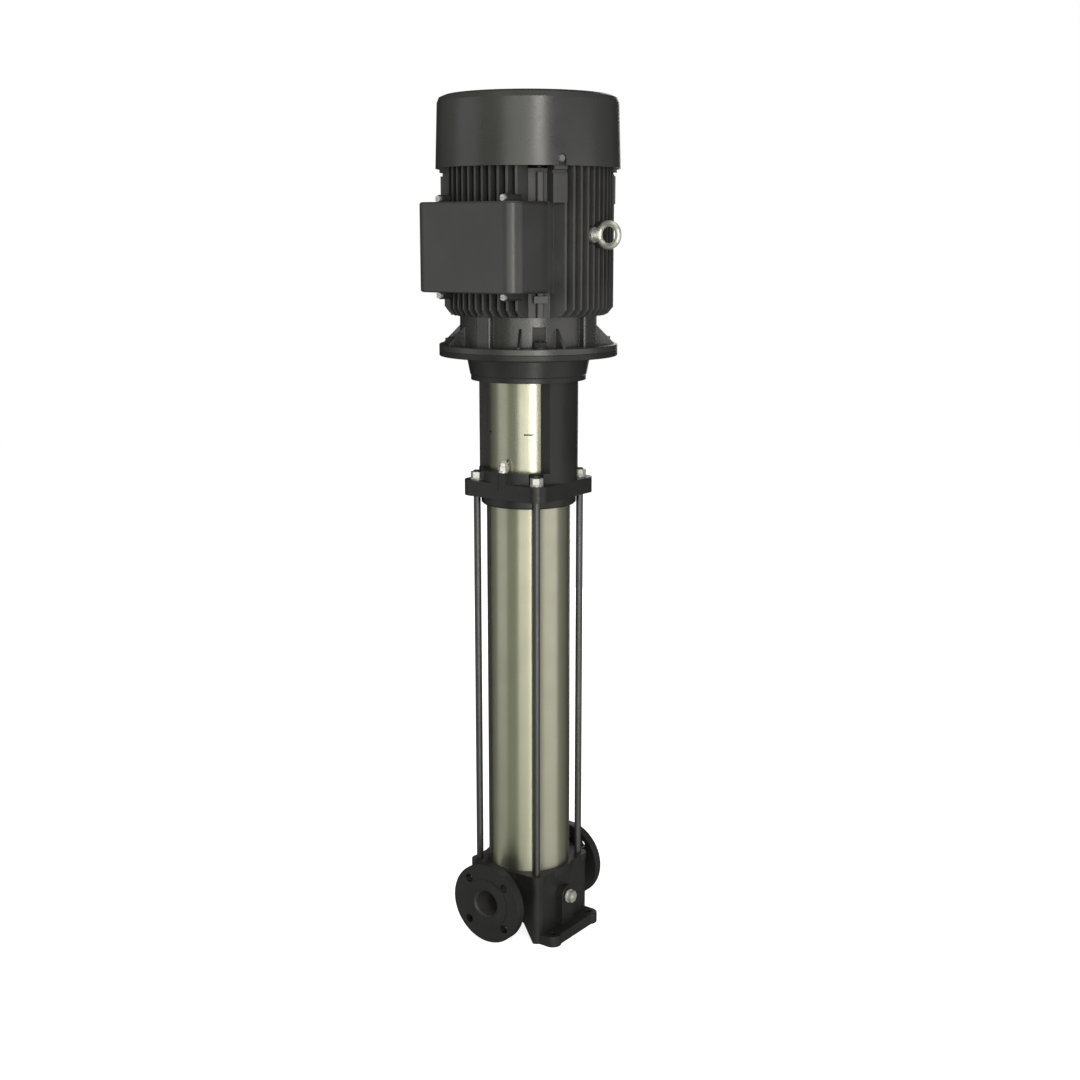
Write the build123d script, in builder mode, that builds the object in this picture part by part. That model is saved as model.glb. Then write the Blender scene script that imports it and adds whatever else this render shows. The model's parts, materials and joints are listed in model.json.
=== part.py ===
from build123d import *
import math
import os

# Vertical multistage pump, close-coupled to a flange-mounted motor.
# Frame: +Z up along the shaft, origin at the centre of the foot's underside.
# X runs along the two in-line ports (suction -X, discharge +X). Millimetres.

# ---------------------------------------------------------------- driving dimensions
# base
foot_thick = 22.0
foot_hole_x = 65.0             # half spacing of the foundation bolts along X
foot_hole_y = 107.5            # half spacing along Y
foot_hole_r = 7.0
foot_pad_r = 18.0
foot_inner_y = 75.0            # inner edge of each foot bar
base_top = 145.0
base_half = 89.5               # half side of the square body
column_r = 16.0
rim_r = 95.0
port_z = 90.0
port_face = 150.0              # half the face-to-face length
port_bore_r = 27.0
mouth_chamfer = 3.5
flange_r = 82.5
flange_thick = 18.0
raised_face_r = 51.0
flange_pcd = 125.0
flange_hole_r = 9.0
neck_r = 36.0
base_floor = 58.0
bowl_top = 128.0
# tie rods
rod_off = 73.5
rod_r = 7.0
rod_bottom = 112.0
rod_top = 969.0
# sleeve
sleeve_ro = 84.15
sleeve_ri = 81.65
sleeve_bottom = 133.0
sleeve_top = 914.0
# head and stool
skirt_r = 94.8
head_bottom = 902.0
head_flange_z = 920.0
head_top = 936.0
square_half = 98.0
square_corner = 24.5
stool_sq_top = 951.0
stool_ring_top = 973.0
stool_r = 99.0
column_half = 47.0
stool_ri = 66.0
window_top = 1149.0
stool_lip_r = 113.5
cone_top_r = 121.6
motor_flange_r = 175.0
stool_flange_z = 1196.0
joint_z = 1207.0               # plane where motor flange meets stool flange
motor_flange_top = 1218.5
spigot_r = 125.0
flange_bolt_r = 150.0          # radius of the stud circle
vent_ang = 3.6                 # degrees from -X towards -Y
vent_rad = 91.0
vent_x = -vent_rad * math.cos(math.radians(vent_ang))
vent_y = -vent_rad * math.sin(math.radians(vent_ang))
guard_r = 80.0
guard_thick = 1.2
# stack
shaft_r = 11.0
stage_z0 = 150.0
stage_pitch = 45.0
stage_count = 16
chamber_ro = 70.5
chamber_ri = 68.5
impeller_r = 60.0
stack_top = stage_z0 + stage_count * stage_pitch      # 870
# motor
shield_neck_r = 134.0
frame_bottom = 1275.0
frame_top = 1540.0
frame_ri = 128.0
frame_ro = 138.0
fin_r = 166.0
fin_pitch = 16.0
fin_count = 5                  # each side of the centre fin
fin_thick = 4.0
fin_top = 1556.0               # the fins run up inside the fan cover
# terminal box
box_back = -97.0
box_seam = -172.0
box_front = -202.0
box_half_w = 118.0
box_z0 = 1321.0
box_z1 = 1487.0
box_zc = (box_z0 + box_z1) / 2
lid_screw_y = 76.0
lid_screw_dz = 6.0
# fan cover
cover_z0 = 1551.0
cover_z1 = 1685.0
cover_r0 = 178.0
cover_r1 = 174.0
cover_screw_z = 1564.0
dent_floor = 172.7             # outer face of the dents that hold the cover screws

rod_points = [(sx * rod_off, sy * rod_off) for sx in (-1, 1) for sy in (-1, 1)]
foot_points = [(sx * foot_hole_x, sy * foot_hole_y) for sx in (-1, 1) for sy in (-1, 1)]
port_axis = Axis((0, 0, port_z), (1, 0, 0))
os.makedirs("parts", exist_ok=True)


def turned(points, mode=Mode.ADD, axis=Axis.Z):
    """Revolve a closed profile given as (radius, z) about the shaft axis into the open part."""
    with BuildSketch(Plane.XZ) as profile:
        with BuildLine():
            Polyline(*points, close=True)
        make_face()
    revolve(profile.sketch, axis=axis, mode=mode)


def tube(ri, ro, z0, z1, mode=Mode.ADD):
    turned([(ri, z0), (ro, z0), (ro, z1), (ri, z1)], mode)


def save(builder, name):
    builder.part.label = name
    export_step(builder.part, "parts/%s.step" % name)


# ================================================================ PUMP BASE
with BuildPart() as pump_base:
    # two foot bars with a round pad about every foundation bolt
    with BuildSketch():
        for s in (-1, 1):
            with Locations((0, s * (foot_inner_y + foot_hole_y) / 2)):
                Rectangle(2 * (foot_hole_x + foot_pad_r), foot_hole_y - foot_inner_y)
            with Locations((0, s * (foot_inner_y + 122) / 2)):
                Rectangle(2 * foot_hole_x, 122 - foot_inner_y)
        with Locations(*foot_points):
            Circle(foot_pad_r)
    extrude(amount=foot_thick)
    fillet(pump_base.edges().filter_by(Axis.Z, reverse=True).group_by(Axis.Z)[-1], radius=2.5)
    # square body with round corner columns that carry the tie rods
    with BuildSketch():
        RectangleRounded(2 * base_half, 2 * base_half, column_r)
    extrude(amount=base_top)
    with BuildSketch(Plane.XY.offset(128)):
        Circle(rim_r)
    extrude(amount=base_top - 128)
    with BuildSketch(Plane.XY.offset(base_top - 14)):
        Circle(rim_r)
        with Locations(*rod_points):
            Circle(column_r + 1.5)
    extrude(amount=14)
    # arch under the body, between the feet
    with BuildSketch(Plane.YZ.offset(-120)) as arch:
        with BuildLine():
            Polyline((-foot_inner_y, -5), (-foot_inner_y, 0), (-50, 42), (50, 42), (foot_inner_y, 0), (foot_inner_y, -5), close=True)
        make_face()
        fillet(arch.vertices().sort_by(Axis.Y)[-2:], radius=14)
    extrude(amount=240, mode=Mode.SUBTRACT)
    # cored pocket in the underside
    with BuildSketch(Plane.XY.offset(38)):
        RectangleRounded(144, 104, 12)
    extrude(amount=12, mode=Mode.SUBTRACT)
    # annular discharge chamber, open at the top
    tube(0.0, 78.0, base_floor, base_top + 5, Mode.SUBTRACT)
    tube(0.0, sleeve_ro + 0.15, 131.0, base_top + 5, Mode.SUBTRACT)
    # suction bowl that carries the inlet part
    tube(45.0, 52.0, base_floor - 1, bowl_top)
    # in-line port necks and flanges
    for s in (-1, 1):
        with BuildSketch(Plane.XZ):
            with BuildLine():
                Polyline(
                    (s * 80, port_z), (s * 80, port_z + neck_r), (s * 117, port_z + neck_r),
                    (s * 129, port_z + 44), (s * (port_face - 2 - flange_thick), port_z + 46),
                    (s * (port_face - 2 - flange_thick), port_z + flange_r),
                    (s * (port_face - 2), port_z + flange_r), (s * (port_face - 2), port_z + raised_face_r),
                    (s * port_face, port_z + raised_face_r), (s * port_face, port_z), close=True)
            make_face()
        revolve(axis=port_axis)
    # suction duct crossing the annular chamber to the bowl
    with BuildSketch(Plane.YZ.offset(-90)):
        with Locations((0, port_z)):
            Circle(port_bore_r + 6)
    extrude(amount=42)
    tube(0.0, 45.0, base_floor, bowl_top + 20, Mode.SUBTRACT)
    # port bores
    with BuildSketch(Plane.YZ.offset(-port_face - 5)):
        with Locations((0, port_z)):
            Circle(port_bore_r)
    extrude(amount=port_face + 5 - 30, mode=Mode.SUBTRACT)
    with BuildSketch(Plane.YZ.offset(70)):
        with Locations((0, port_z)):
            Circle(port_bore_r)
    extrude(amount=port_face, mode=Mode.SUBTRACT)
    for s in (-1, 1):
        with BuildSketch(Plane.XZ):
            with BuildLine():
                Polyline(
                    (s * (port_face - mouth_chamfer), port_z), (s * (port_face - mouth_chamfer), port_z + port_bore_r),
                    (s * (port_face + 1), port_z + port_bore_r + mouth_chamfer + 1), (s * (port_face + 1), port_z), close=True)
            make_face()
        revolve(axis=port_axis, mode=Mode.SUBTRACT)
    # flange bolt holes
    for s in (-1, 1):
        with BuildSketch(Plane.YZ.offset(s * (port_face - 10))):
            with Locations((0, port_z)):
                with PolarLocations(flange_pcd / 2, 4, start_angle=45):
                    Circle(flange_hole_r)
        extrude(amount=20, both=True, mode=Mode.SUBTRACT)
    # drain boss on the -Y side, arched top
    with BuildSketch(Plane.XZ.offset(100)):
        with Locations((0, 82)):
            Circle(20)
        with Locations((0, 46)):
            Rectangle(40, 72)
    extrude(amount=-13)
    with BuildSketch(Plane.XZ.offset(105)):
        with Locations((0, 80)):
            Circle(9.5)
    extrude(amount=-33, mode=Mode.SUBTRACT)
    # foundation bolt holes and tapped tie rod holes
    with BuildSketch(Plane.XY.offset(-5)):
        with Locations(*foot_points):
            Circle(foot_hole_r)
    extrude(amount=foot_thick + 10, mode=Mode.SUBTRACT)
    with BuildSketch(Plane.XY.offset(rod_bottom)):
        with Locations(*rod_points):
            Circle(rod_r + 0.05)
    extrude(amount=60, mode=Mode.SUBTRACT)
save(pump_base, "pump_base")

with BuildPart() as drain_plug_seal:
    with BuildSketch(Plane.XZ.offset(100)):
        with Locations((0, 80)):
            Circle(14.5)
            Circle(9.6, mode=Mode.SUBTRACT)
    extrude(amount=2)
save(drain_plug_seal, "drain_plug_seal")

with BuildPart() as drain_plug:
    with BuildSketch(Plane.XZ.offset(84)):
        with Locations((0, 80)):
            Circle(9.45)
    extrude(amount=18)
    with BuildSketch(Plane.XZ.offset(102)):
        with Locations((0, 80)):
            Circle(14)
    extrude(amount=3)
    with BuildSketch(Plane.XZ.offset(105)):
        with Locations((0, 80)):
            RegularPolygon(11, 6, major_radius=False)
    extrude(amount=9)
    with BuildSketch(Plane.XZ.offset(114)):
        with Locations((0, 80)):
            Circle(5.5)
    extrude(amount=3)
save(drain_plug, "drain_plug")

# ================================================================ SLEEVE, RODS
with BuildPart() as outer_sleeve:
    tube(sleeve_ri, sleeve_ro, sleeve_bottom, sleeve_top)
save(outer_sleeve, "outer_sleeve")

with BuildPart() as sleeve_seals:
    tube(78.6, sleeve_ro, 131.0, sleeve_bottom)
    tube(78.6, sleeve_ro, sleeve_top, 916.0)
save(sleeve_seals, "sleeve_seals")

with BuildPart() as tie_rods:
    with BuildSketch(Plane.XY.offset(rod_bottom)):
        with Locations(*rod_points):
            Circle(rod_r)
    extrude(amount=rod_top - rod_bottom)
    chamfer(tie_rods.edges().filter_by(GeomType.CIRCLE).group_by(Axis.Z)[-1], length=1.2)
save(tie_rods, "tie_rods")

with BuildPart() as tie_rod_washers:
    with BuildSketch(Plane.XY.offset(stool_sq_top)):
        with Locations(*rod_points):
            Circle(13.5)
            Circle(rod_r + 0.4, mode=Mode.SUBTRACT)
    extrude(amount=2.5)
save(tie_rod_washers, "tie_rod_washers")

with BuildPart() as tie_rod_nuts:
    with BuildSketch(Plane.XY.offset(stool_sq_top + 2.5)):
        with Locations(*rod_points):
            RegularPolygon(11, 6, major_radius=False)
            Circle(rod_r + 0.05, mode=Mode.SUBTRACT)
    extrude(amount=12.5)
save(tie_rod_nuts, "tie_rod_nuts")

# ================================================================ PUMP HEAD
with BuildPart() as pump_head:
    turned([(0, head_bottom), (skirt_r - 3, head_bottom), (skirt_r, head_bottom + 3), (skirt_r, head_flange_z + 2), (0, head_flange_z + 2)])
    with BuildSketch(Plane.XY.offset(head_flange_z)):
        RectangleRounded(2 * square_half, 2 * square_half, square_corner)
    extrude(amount=head_top - head_flange_z)
    # sleeve seat and top cavity
    tube(0.0, sleeve_ro + 0.15, head_bottom - 5, 916.0, Mode.SUBTRACT)
    tube(0.0, 78.0, 915.0, 924.0, Mode.SUBTRACT)
    # vent boss rising beside the stool ring
    with BuildSketch(Plane.XY.offset(head_top - 4)):
        with Locations((vent_x, vent_y)):
            Circle(10.2)
        Rectangle(2 * square_half, 2 * square_half, mode=Mode.INTERSECT)
    extrude(amount=stool_ring_top - head_top + 4)
    # seal bore, tie rod holes, carrier screw holes, vent bore with its duct
    tube(0.0, 31.0, 900.0, 980.0, Mode.SUBTRACT)
    with BuildSketch(Plane.XY.offset(head_bottom)):
        with Locations(*rod_points):
            Circle(rod_r + 1)
    extrude(amount=60, mode=Mode.SUBTRACT)
    with BuildSketch(Plane.XY.offset(927)):
        with PolarLocations(41, 4, start_angle=45):
            Circle(4.05)
    extrude(amount=20, mode=Mode.SUBTRACT)
    with BuildSketch(Plane.XY.offset(944)):
        with Locations((vent_x, vent_y)):
            Circle(4.9)
    extrude(amount=40, mode=Mode.SUBTRACT)
    duct_end = Vector(vent_x, vent_y, 947)
    duct_start = Vector(vent_x * 0.75, vent_y * 0.75, 921)
    with BuildSketch(Plane(origin=duct_start, z_dir=duct_end - duct_start)):
        Circle(2.5)
    extrude(amount=(duct_end - duct_start).length, mode=Mode.SUBTRACT)
save(pump_head, "pump_head")

with BuildPart() as vent_plug:
    with BuildSketch(Plane.XY.offset(948)):
        with Locations((vent_x, vent_y)):
            Circle(4.85)
    extrude(amount=26)
    with BuildSketch(Plane.XY.offset(stool_ring_top)):
        with Locations((vent_x, vent_y)):
            Circle(9.8)
    extrude(amount=4)
    with BuildSketch(Plane.XY.offset(stool_ring_top + 4)):
        with Locations((vent_x, vent_y)):
            RegularPolygon(9, 6, major_radius=False)
    extrude(amount=8)
    with BuildSketch(Plane.XY.offset(946)):
        with Locations((vent_x, vent_y)):
            Circle(2.55)
    extrude(amount=50, mode=Mode.SUBTRACT)
save(vent_plug, "vent_plug")

with BuildPart() as vent_screw:
    with BuildSketch(Plane.XY.offset(956)):
        with Locations((vent_x, vent_y)):
            Circle(2.5)
    extrude(amount=30)
    with BuildSketch(Plane.XY.offset(985.3)):
        with Locations((vent_x, vent_y)):
            RegularPolygon(7.5, 6, major_radius=False)
    extrude(amount=7.2)
    with BuildSketch(Plane.XY.offset(992.5)):
        with Locations((vent_x, vent_y)):
            Circle(7.2)
    extrude(amount=4.5, taper=30)
save(vent_screw, "vent_screw")

# ================================================================ MOTOR STOOL
with BuildPart() as motor_stool:
    with BuildSketch(Plane.XY.offset(head_top)):
        RectangleRounded(2 * square_half, 2 * square_half, square_corner)
    extrude(amount=stool_sq_top - head_top)
    with BuildSketch(Plane.XY.offset(stool_sq_top - 1)):
        Circle(stool_r)
    extrude(amount=stool_ring_top - stool_sq_top + 1)
    # pockets for the nuts
    with BuildSketch(Plane.XY.offset(stool_sq_top)):
        with Locations(*rod_points):
            Circle(15.5)
    extrude(amount=60, mode=Mode.SUBTRACT)
    # two columns at +Y and -Y
    with BuildSketch(Plane.XY.offset(stool_ring_top - 2)) as columns:
        Circle(stool_r)
        Circle(stool_ri, mode=Mode.SUBTRACT)
        Rectangle(2 * column_half, 240, mode=Mode.INTERSECT)
    extrude(amount=window_top - stool_ring_top + 4)
    # lip, cone and motor flange
    turned([(0, window_top), (stool_lip_r, window_top), (stool_lip_r, window_top + 9), (stool_lip_r + 1.6, window_top + 11),
            (cone_top_r - 0.6, stool_flange_z - 6), (cone_top_r + 2.4, stool_flange_z), (motor_flange_r - 1.0, stool_flange_z),
            (motor_flange_r, stool_flange_z + 1), (motor_flange_r, joint_z - 0.6), (motor_flange_r - 0.6, joint_z), (0, joint_z)])
    # through bore
    turned([(0, head_top - 5), (60, head_top - 5), (60, stool_sq_top - 3), (stool_ri, stool_sq_top - 3), (stool_ri, 1166),
            (104, 1184), (104, joint_z - 5), (spigot_r + 0.1, joint_z - 5), (spigot_r + 0.1, joint_z + 5), (0, joint_z + 5)], Mode.SUBTRACT)
    # curved grooves that hold the guards at the bottom and the top
    for z0, h in ((stool_ring_top - 3, 3.5), (window_top - 0.5, 7.5)):
        with BuildSketch(Plane.XY.offset(z0)):
            Circle(guard_r + 0.2)
            Circle(guard_r - guard_thick - 0.2, mode=Mode.SUBTRACT)
            Rectangle(2 * column_half, 240, mode=Mode.SUBTRACT)
        extrude(amount=h, mode=Mode.SUBTRACT)
    # clearance for the vent boss, tie rod holes, tapped stud holes
    with BuildSketch(Plane.XY.offset(head_top - 5)):
        with Locations((vent_x, vent_y)):
            Circle(11.2)
    extrude(amount=60, mode=Mode.SUBTRACT)
    with BuildSketch(Plane.XY.offset(head_top - 5)):
        with Locations(*rod_points):
            Circle(rod_r + 1)
    extrude(amount=30, mode=Mode.SUBTRACT)
    with BuildSketch(Plane.XY.offset(stool_flange_z - 5)):
        with PolarLocations(flange_bolt_r, 4, start_angle=45):
            Circle(8.05)
    extrude(amount=30, mode=Mode.SUBTRACT)
save(motor_stool, "motor_stool")


def guard_sketch(side):
    with BuildSketch(Plane.XY.offset(stool_ring_top - 3)) as face:
        Circle(guard_r)
        Circle(guard_r - guard_thick, mode=Mode.SUBTRACT)
        with Locations((side * (column_half + 0.3 + 60), 0)):
            Rectangle(120, 240, mode=Mode.INTERSECT)
    return face.sketch


for side, name in ((-1, "coupling_guard_left"), (1, "coupling_guard_right")):
    with BuildPart() as guard:
        extrude(guard_sketch(side), amount=window_top - stool_ring_top + 6)
        # short latch slots near each side edge
        for a in (-37, 37):
            ang = a if side > 0 else 180 + a
            with Locations(Location((0, 0, 1047), (0, 0, ang))):
                with Locations((guard_r, 0, 0)):
                    Box(8, 20, 2.4, mode=Mode.SUBTRACT)
    save(guard, name)

# ================================================================ HYDRAULIC STACK
with BuildPart() as inlet_part:
    turned([(30, bowl_top), (chamber_ro, bowl_top), (chamber_ro, stage_z0), (30, stage_z0)])
    turned([(38, 118), (44.9, 118), (44.9, bowl_top), (44.9, bowl_top + 2), (38, bowl_top + 2)])
    tube(shaft_r + 0.05, 17, bowl_top, 142)
    for k in range(3):
        with Locations(Location((0, 0, 135), (0, 0, 120 * k + 30))):
            with Locations((23.5, 0, 0)):
                Box(16, 5, 14)
save(inlet_part, "inlet_part")

with BuildPart() as chamber:
    turned([(chamber_ri, 0), (chamber_ro, 0), (chamber_ro, stage_pitch - 0.05), (chamber_ri, stage_pitch - 0.05)])
    tube(37.0, chamber_ri + 1, 0.0, 2.0)
    tube(19.0, 60.0, 26.0, 28.0)
    with BuildSketch(Plane.XY.offset(27.5)):
        with PolarLocations(44.5, 8):
            Rectangle(49, 2)
    extrude(amount=stage_pitch - 0.3 - 27.5)

with BuildPart() as stage_chambers:
    with Locations(*[(0, 0, stage_z0 + i * stage_pitch) for i in range(stage_count)]):
        add(chamber.part)
save(stage_chambers, "stage_chambers")

with BuildPart() as neck_rings:
    for i in range(stage_count):
        tube(30.3, 36.95, stage_z0 + i * stage_pitch + 0.02, stage_z0 + i * stage_pitch + 5)
save(neck_rings, "neck_rings")

with BuildPart() as impeller:
    turned([(27, 1), (30, 1), (30, 8), (impeller_r, 8), (impeller_r, 10), (27, 10)])
    tube(14.0, impeller_r, 20.0, 22.0)
    tube(shaft_r + 0.04, 15.0, 4.0, 26.0)
    with BuildSketch(Plane.XY.offset(9.5)):
        with BuildSketch(mode=Mode.PRIVATE) as blade:
            with BuildLine():
                ThreePointArc((28.5, 0), (39, -26), (32.5, -50))
                Line((32.5, -50), (34.6, -48.6))
                ThreePointArc((34.6, -48.6), (41, -25.4), (30.6, 1))
                Line((30.6, 1), (28.5, 0))
            make_face()
        with PolarLocations(0, 6):
            add(blade.sketch)
    extrude(amount=11)

with BuildPart() as impellers:
    with Locations(*[Location((0, 0, stage_z0 + i * stage_pitch), (0, 0, 23 * i)) for i in range(stage_count)]):
        add(impeller.part)
save(impellers, "impellers")

with BuildPart() as impeller_spacers:
    for i in range(stage_count):
        z = stage_z0 + i * stage_pitch
        tube(shaft_r + 0.04, 14.9, z + 26.02, z + 48.98)
save(impeller_spacers, "impeller_spacers")

with BuildPart() as bearing_rings:
    for i in (1, 8, 14):
        z = stage_z0 + i * stage_pitch
        tube(14.95, 18.95, z + 26, z + 36)
save(bearing_rings, "bearing_rings")

with BuildPart() as stack_cage:
    tube(40, chamber_ro, stack_top, stack_top + 6)
    tube(50, 56, stack_top + 5, 924)
    with BuildSketch(Plane.XY.offset(stack_top + 14)):
        with PolarLocations(53, 6):
            Rectangle(24, 28)
    extrude(amount=30, mode=Mode.SUBTRACT)
save(stack_cage, "stack_cage")

with BuildPart() as stack_straps:
    for k in range(4):
        with Locations(Location((0, 0, 0), (0, 0, 90 * k))):
            with Locations((71.9, 0, (bowl_top + stack_top + 6) / 2)):
                Box(1.6, 16, stack_top + 6 - bowl_top + 3)
            with Locations((66.3, 0, bowl_top - 0.75)):
                Box(12.0, 16, 1.5)
            with Locations((66.3, 0, stack_top + 6 + 0.75)):
                Box(12.0, 16, 1.5)
save(stack_straps, "stack_straps")

with BuildPart() as pump_shaft:
    with BuildSketch(Plane.XY.offset(104)):
        Circle(shaft_r)
    extrude(amount=1090 - 104)
    chamfer(pump_shaft.edges().group_by(Axis.Z)[-1] + pump_shaft.edges().group_by(Axis.Z)[0], length=1)
    with BuildSketch(Plane.XZ):
        with Locations((0, 1066)):
            Circle(3.02)
    extrude(amount=20, both=True, mode=Mode.SUBTRACT)
save(pump_shaft, "pump_shaft")

# ================================================================ SHAFT SEAL
with BuildPart() as seal_carrier:
    turned([(13, 926), (30.95, 926), (30.95, head_top), (50, head_top), (50, 944), (48, 946), (26, 946), (24, 956), (13, 956)])
    tube(0, 22.05, 920, 940, Mode.SUBTRACT)
    with BuildSketch(Plane.XY.offset(920)):
        with PolarLocations(41, 4, start_angle=45):
            Circle(4.3)
    extrude(amount=40, mode=Mode.SUBTRACT)
save(seal_carrier, "seal_carrier")

with BuildPart() as seal_carrier_screws:
    with BuildSketch(Plane.XY.offset(928)):
        with PolarLocations(41, 4, start_angle=45):
            Circle(4.0)
    extrude(amount=18.5)
    with BuildSketch(Plane.XY.offset(946)):
        with PolarLocations(41, 4, start_angle=45):
            Circle(6.5)
    extrude(amount=8)
    with BuildSketch(Plane.XY.offset(950)):
        with PolarLocations(41, 4, start_angle=45):
            RegularPolygon(3, 6, major_radius=False)
    extrude(amount=10, mode=Mode.SUBTRACT)
save(seal_carrier_screws, "seal_carrier_screws")

with BuildPart() as seal_stationary_ring:
    turned([(12.5, 930), (18, 930), (18, 932), (22, 934), (22, 940), (12.5, 940)])
save(seal_stationary_ring, "seal_stationary_ring")

with BuildPart() as seal_rotating_ring:
    turned([(shaft_r + 0.04, 919), (20, 919), (20, 928), (17.5, 928), (17.5, 929.95), (12.5, 929.95), (12.5, 928), (shaft_r + 0.04, 928)])
save(seal_rotating_ring, "seal_rotating_ring")

with BuildPart() as seal_bellows:
    folds = []
    for k in range(5):
        folds += [(14.5, 900 + 3.6 * k), (19, 901.8 + 3.6 * k)]
    turned([(shaft_r + 0.04, 894), (18, 894), (18, 898)] + folds + [(14.5, 918.5), (shaft_r + 0.04, 918.9)])
save(seal_bellows, "seal_bellows")

# ================================================================ COUPLING
coupling_r = 46.0
coup_z0, coup_z1, coup_mid = 1040.0, 1160.0, 1094.0
coup_screws = [(y, z) for y in (-32, 32) for z in (1056, 1078, 1114, 1142)]
for side, name in ((1, "coupling_half_front"), (-1, "coupling_half_rear")):
    with BuildPart() as half:
        turned([(shaft_r + 0.02, coup_z0), (coupling_r - 2, coup_z0), (coupling_r, coup_z0 + 2), (coupling_r, coup_z1 - 2),
                (coupling_r - 2, coup_z1), (21.02, coup_z1), (21.02, coup_mid), (shaft_r + 0.02, coup_mid)])
        with Locations((side * (1 - 100), 0, 1100)):
            Box(200, 200, 200, mode=Mode.SUBTRACT)
        # cross pin groove
        with BuildSketch(Plane.XZ):
            with Locations((0, 1066)):
                Circle(3.05)
        extrude(amount=17.2, both=True, mode=Mode.SUBTRACT)
        with BuildSketch(Plane.YZ):
            with Locations(*coup_screws):
                Circle(5.1)
        extrude(amount=60 if side > 0 else -26, mode=Mode.SUBTRACT)
        if side > 0:
            with BuildSketch(Plane.YZ.offset(20)):
                with Locations(*coup_screws):
                    Circle(8.6)
            extrude(amount=40, mode=Mode.SUBTRACT)
    save(half, name)

with BuildPart() as coupling_screws:
    with BuildSketch(Plane.YZ.offset(-25)):
        with Locations(*coup_screws):
            Circle(5.0)
    extrude(amount=45.5)
    with BuildSketch(Plane.YZ.offset(20)):
        with Locations(*coup_screws):
            Circle(8.0)
    extrude(amount=10)
    with BuildSketch(Plane.YZ.offset(25)):
        with Locations(*coup_screws):
            RegularPolygon(4, 6, major_radius=False)
    extrude(amount=10, mode=Mode.SUBTRACT)
save(coupling_screws, "coupling_screws")

with BuildPart() as coupling_pin:
    with BuildSketch(Plane.XZ):
        with Locations((0, 1066)):
            Circle(3.0)
    extrude(amount=17, both=True)
save(coupling_pin, "coupling_pin")

# ================================================================ MOTOR: DRIVE END
lug_angles = (0, 90, 180, 270)
with BuildPart() as drive_end_shield:
    turned([(23.5, 1202), (spigot_r, 1202), (spigot_r, joint_z), (motor_flange_r - 0.6, joint_z), (motor_flange_r, joint_z + 0.6),
            (motor_flange_r, motor_flange_top - 1.2), (motor_flange_r - 1.2, motor_flange_top), (shield_neck_r + 0.8, motor_flange_top),
            (shield_neck_r, motor_flange_top + 0.8), (shield_neck_r, frame_bottom), (frame_ri - 0.1, frame_bottom),
            (frame_ri - 0.1, frame_bottom + 6), (118, frame_bottom + 6), (118, frame_bottom - 4), (124, frame_bottom - 8),
            (124, 1222), (62, 1222), (62, 1250), (50.02, 1250), (50.02, 1222), (23.5, 1222)])
    # lugs on the neck, one on each axis
    with BuildSketch(Plane.XY.offset(motor_flange_top - 2)):
        with PolarLocations(136, 4):
            RectangleRounded(20, 34, 5)
    extrude(amount=frame_bottom - motor_flange_top + 2)
    # pairs of gussets either side of every stud
    for q in range(4):
        for d in (-15, 15):
            ang = math.radians(45 + 90 * q + d)
            with BuildSketch(Plane(origin=(0, 0, 0), x_dir=(math.cos(ang), math.sin(ang), 0), z_dir=(math.sin(ang), -math.cos(ang), 0))):
                with BuildLine():
                    Polyline((130, motor_flange_top - 1), (168, motor_flange_top - 1), (168, motor_flange_top + 2),
                             (165, motor_flange_top + 5), (shield_neck_r + 1, 1254), (130, 1254), close=True)
                make_face()
            extrude(amount=2.5, both=True)
    # spanner recess in the neck behind every stud
    for q in range(4):
        with Locations(Location((0, 0, (motor_flange_top + 1257) / 2), (0, 0, 45 + 90 * q))):
            with Locations((140, 0, 0)):
                Box(24, 25, 1257 - motor_flange_top, mode=Mode.SUBTRACT)
    # stud holes and end-shield screw holes
    with BuildSketch(Plane.XY.offset(joint_z - 5)):
        with PolarLocations(flange_bolt_r, 4, start_angle=45):
            Circle(9)
    extrude(amount=30, mode=Mode.SUBTRACT)
    with BuildSketch(Plane.XY.offset(joint_z - 1)):
        with PolarLocations(138, 4):
            Circle(7)
    extrude(amount=9, mode=Mode.SUBTRACT)
    with BuildSketch(Plane.XY.offset(joint_z - 1)):
        with PolarLocations(138, 4):
            Circle(4.2)
    extrude(amount=90, mode=Mode.SUBTRACT)
save(drive_end_shield, "drive_end_shield")

with BuildPart() as flange_studs:
    with BuildSketch(Plane.XY.offset(stool_flange_z)):
        with PolarLocations(flange_bolt_r, 4, start_angle=45):
            Circle(8)
    extrude(amount=1232.5 - stool_flange_z)
    chamfer(flange_studs.edges().filter_by(GeomType.CIRCLE).group_by(Axis.Z)[-1], length=1.2)
save(flange_studs, "flange_studs")

with BuildPart() as flange_washers:
    with BuildSketch(Plane.XY.offset(motor_flange_top)):
        with PolarLocations(flange_bolt_r, 4, start_angle=45):
            Circle(15)
            Circle(8.5, mode=Mode.SUBTRACT)
    extrude(amount=3)
save(flange_washers, "flange_washers")

with BuildPart() as flange_nuts:
    with BuildSketch(Plane.XY.offset(motor_flange_top + 3)):
        with PolarLocations(flange_bolt_r, 4, start_angle=45):
            RegularPolygon(12, 6, major_radius=False)
            Circle(8.05, mode=Mode.SUBTRACT)
    extrude(amount=9)
save(flange_nuts, "flange_nuts")


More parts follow.
